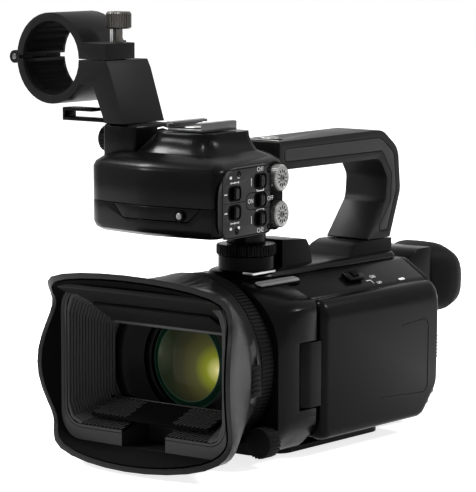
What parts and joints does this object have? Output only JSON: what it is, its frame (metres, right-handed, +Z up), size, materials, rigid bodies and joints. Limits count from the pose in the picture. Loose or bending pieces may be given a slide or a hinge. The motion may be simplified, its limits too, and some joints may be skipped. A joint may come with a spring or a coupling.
{
  "type": "handheld camcorder with top handle",
  "caption": "Camcorder with hood and barrier blades, fold-out monitor, tilting viewfinder, hand strap and top handle with sound controls and microphone ring.",
  "frame": {"origin": "on the base plate, below the lens axis, beside the tripod socket", "axes": "+X to the monitor side, +Y to the rear along the lens axis, +Z up"},
  "size_m": [0.156, 0.2363, 0.1984],
  "materials": {
    "body_plastic": "fine matt black",
    "dark_plastic": "satin dark grey",
    "grip_plastic": "leather grain",
    "rubber": "matt",
    "glass": "coated",
    "steel": "satin",
    "silver": "bright",
    "webbing": "woven",
    "board": "laminate",
    "window": "gloss",
    "red_plastic": "gloss",
    "mesh_metal": "perforated"
  },
  "bodies": {
    "camera": {"left_shell": "body_plastic", "right_shell": "body_plastic", "front_shell": "body_plastic", "lens_barrel": "body_plastic", "top_cover": "body_plastic", "audio_lower": "body_plastic", "audio_upper": "body_plastic", "handle": "body_plastic", "mic_base": "body_plastic", "mic_bracket": "body_plastic", "rear_cover": "dark_plastic", "lens_retainer": "dark_plastic", "hood_shell": "dark_plastic", "control_panel": "dark_plastic", "sound_socket_one": "dark_plastic", "sound_socket_two": "dark_plastic", "cable_clip": "dark_plastic", "handle_inlay_left": "grip_plastic", "handle_inlay_right": "grip_plastic", "base_plate": "rubber", "hood_baffle": "rubber", "front_lens": "glass", "zoom_lens": "glass", "tripod_socket": "steel", "mic_pin": "steel", "accessory_shoe": "silver", "hand_strap": "webbing", "main_board": "board", "image_sensor": "board", "lamp_window": "window", "mic_grille": "mesh_metal"},
    "barrier_lever": {"barrier_lever": "rubber"},
    "upper_blade": {"upper_blade": "body_plastic"},
    "lower_blade": {"lower_blade": "body_plastic"},
    "lens_ring": {"lens_ring": "rubber"},
    "custom_dial": {"custom_dial": "rubber"},
    "monitor": {"monitor_hinge": "dark_plastic", "monitor_cover": "dark_plastic", "monitor_bezel": "rubber", "monitor_screen": "window"},
    "mode_switch": {"mode_switch": "dark_plastic"},
    "record_button": {"record_button": "red_plastic"},
    "zoom_rocker": {"zoom_rocker": "dark_plastic"},
    "viewfinder": {"evf_housing": "dark_plastic", "eyepiece_glass": "glass", "eyecup": "rubber"},
    "battery": {"battery": "body_plastic"},
    "battery_latch": {"battery_latch": "dark_plastic"},
    "level_dial_one": {"level_dial_one": "silver"},
    "level_dial_two": {"level_dial_two": "silver"},
    "input_switch_one": {"input_switch_one": "rubber"},
    "input_switch_two": {"input_switch_two": "rubber"},
    "level_switch_one": {"level_switch_one": "rubber"},
    "sound_switch": {"sound_switch": "rubber"},
    "level_switch_two": {"level_switch_two": "rubber"},
    "lock_wheel": {"lock_wheel": "dark_plastic"},
    "handle_button": {"handle_button": "red_plastic"},
    "mic_clamp": {"mic_clamp": "body_plastic"},
    "mic_screw": {"mic_screw": "steel"},
    "mic_side_knob": {"mic_side_knob": "rubber"}
  },
  "joints": [
    {"name": "barrier_slide", "type": "slide", "parent": "camera", "child": "barrier_lever", "axis": [0, 0, 1], "range_m": [0, 0.006]},
    {"name": "upper_blade_swing", "type": "hinge", "parent": "camera", "child": "upper_blade", "pos_m": [0, -0.0696, 0.0616], "axis": [1, 0, 0], "range_deg": [0, 121.06]},
    {"name": "lower_blade_swing", "type": "hinge", "parent": "camera", "child": "lower_blade", "pos_m": [0, -0.0696, 0.0264], "axis": [-1, 0, 0], "range_deg": [0, 109.39]},
    {"name": "lens_ring_turn", "type": "hinge", "parent": "camera", "child": "lens_ring", "pos_m": [0, -0.0517, 0.044], "axis": [0, 1, 0], "continuous": true},
    {"name": "custom_dial_turn", "type": "hinge", "parent": "camera", "child": "custom_dial", "pos_m": [0.036, -0.0503, 0.011], "axis": [0, 1, 0], "continuous": true},
    {"name": "monitor_swing", "type": "hinge", "parent": "camera", "child": "monitor", "pos_m": [0.0368, -0.024, 0.0383], "axis": [0, 0, -1], "range_deg": [0, 90]},
    {"name": "mode_slide", "type": "slide", "parent": "camera", "child": "mode_switch", "axis": [0, 1, 0], "range_m": [-0.003, 0.003]},
    {"name": "record_press", "type": "slide", "parent": "camera", "child": "record_button", "axis": [0, -1, 0], "range_m": [0, 0.0012], "stiffness_N_per_m": 300},
    {"name": "zoom_rock", "type": "hinge", "parent": "camera", "child": "zoom_rocker", "pos_m": [-0.023, 0.034, 0.0793], "axis": [1, 0, 0], "range_deg": [-6, 6], "stiffness_Nm_per_rad": 0.05},
    {"name": "viewfinder_tilt", "type": "hinge", "parent": "camera", "child": "viewfinder", "pos_m": [0, 0.101, 0.067], "axis": [1, 0, 0], "range_deg": [0, 45]},
    {"name": "battery_slide", "type": "slide", "parent": "camera", "child": "battery", "axis": [0, 1, 0], "range_m": [0, 0.03]},
    {"name": "latch_slide", "type": "slide", "parent": "camera", "child": "battery_latch", "axis": [1, 0, 0], "range_m": [0, 0.003], "stiffness_N_per_m": 150},
    {"name": "level_dial_one_turn", "type": "hinge", "parent": "camera", "child": "level_dial_one", "pos_m": [0.02734, -0.02851, 0.12599], "axis": [0.994, 0.1094, 0], "range_deg": [-140, 140]},
    {"name": "level_dial_two_turn", "type": "hinge", "parent": "camera", "child": "level_dial_two", "pos_m": [0.02734, -0.02851, 0.10981], "axis": [0.994, 0.1094, 0], "range_deg": [-140, 140]},
    {"name": "input_switch_one_slide", "type": "slide", "parent": "camera", "child": "input_switch_one", "axis": [-0.1094, 0.994, 0], "range_m": [-0.0025, 0.0025]},
    {"name": "input_switch_two_slide", "type": "slide", "parent": "camera", "child": "input_switch_two", "axis": [-0.1094, 0.994, 0], "range_m": [-0.0025, 0.0025]},
    {"name": "level_switch_one_slide", "type": "slide", "parent": "camera", "child": "level_switch_one", "axis": [-0.1094, 0.994, 0], "range_m": [-0.0025, 0.0025]},
    {"name": "sound_switch_slide", "type": "slide", "parent": "camera", "child": "sound_switch", "axis": [-0.1094, 0.994, 0], "range_m": [-0.0025, 0.0025]},
    {"name": "level_switch_two_slide", "type": "slide", "parent": "camera", "child": "level_switch_two", "axis": [-0.1094, 0.994, 0], "range_m": [-0.0025, 0.0025]},
    {"name": "lock_wheel_turn", "type": "hinge", "parent": "camera", "child": "lock_wheel", "pos_m": [0, -0.017, 0.091], "axis": [0, 0, 1], "continuous": true},
    {"name": "handle_press", "type": "slide", "parent": "camera", "child": "handle_button", "axis": [0, 0, -1], "range_m": [0, 0.001], "stiffness_N_per_m": 300},
    {"name": "mic_clamp_swing", "type": "hinge", "parent": "camera", "child": "mic_clamp", "pos_m": [-0.09785, -0.0507, 0.177], "axis": [0, -1, 0], "range_deg": [0, 100]},
    {"name": "mic_screw_turn", "type": "hinge", "parent": "mic_clamp", "child": "mic_screw", "pos_m": [-0.0467, -0.0507, 0.19], "axis": [0, 0, 1], "continuous": true},
    {"name": "mic_side_knob_turn", "type": "hinge", "parent": "camera", "child": "mic_side_knob", "pos_m": [-0.0508, -0.0505, 0.14085], "axis": [1, 0, 0], "continuous": true}
  ],
  "couplings": [
    {"joint": "upper_blade_swing", "follows": "barrier_slide", "rad_per_m": 351.87},
    {"joint": "lower_blade_swing", "follows": "barrier_slide", "rad_per_m": 317.91}
  ]
}
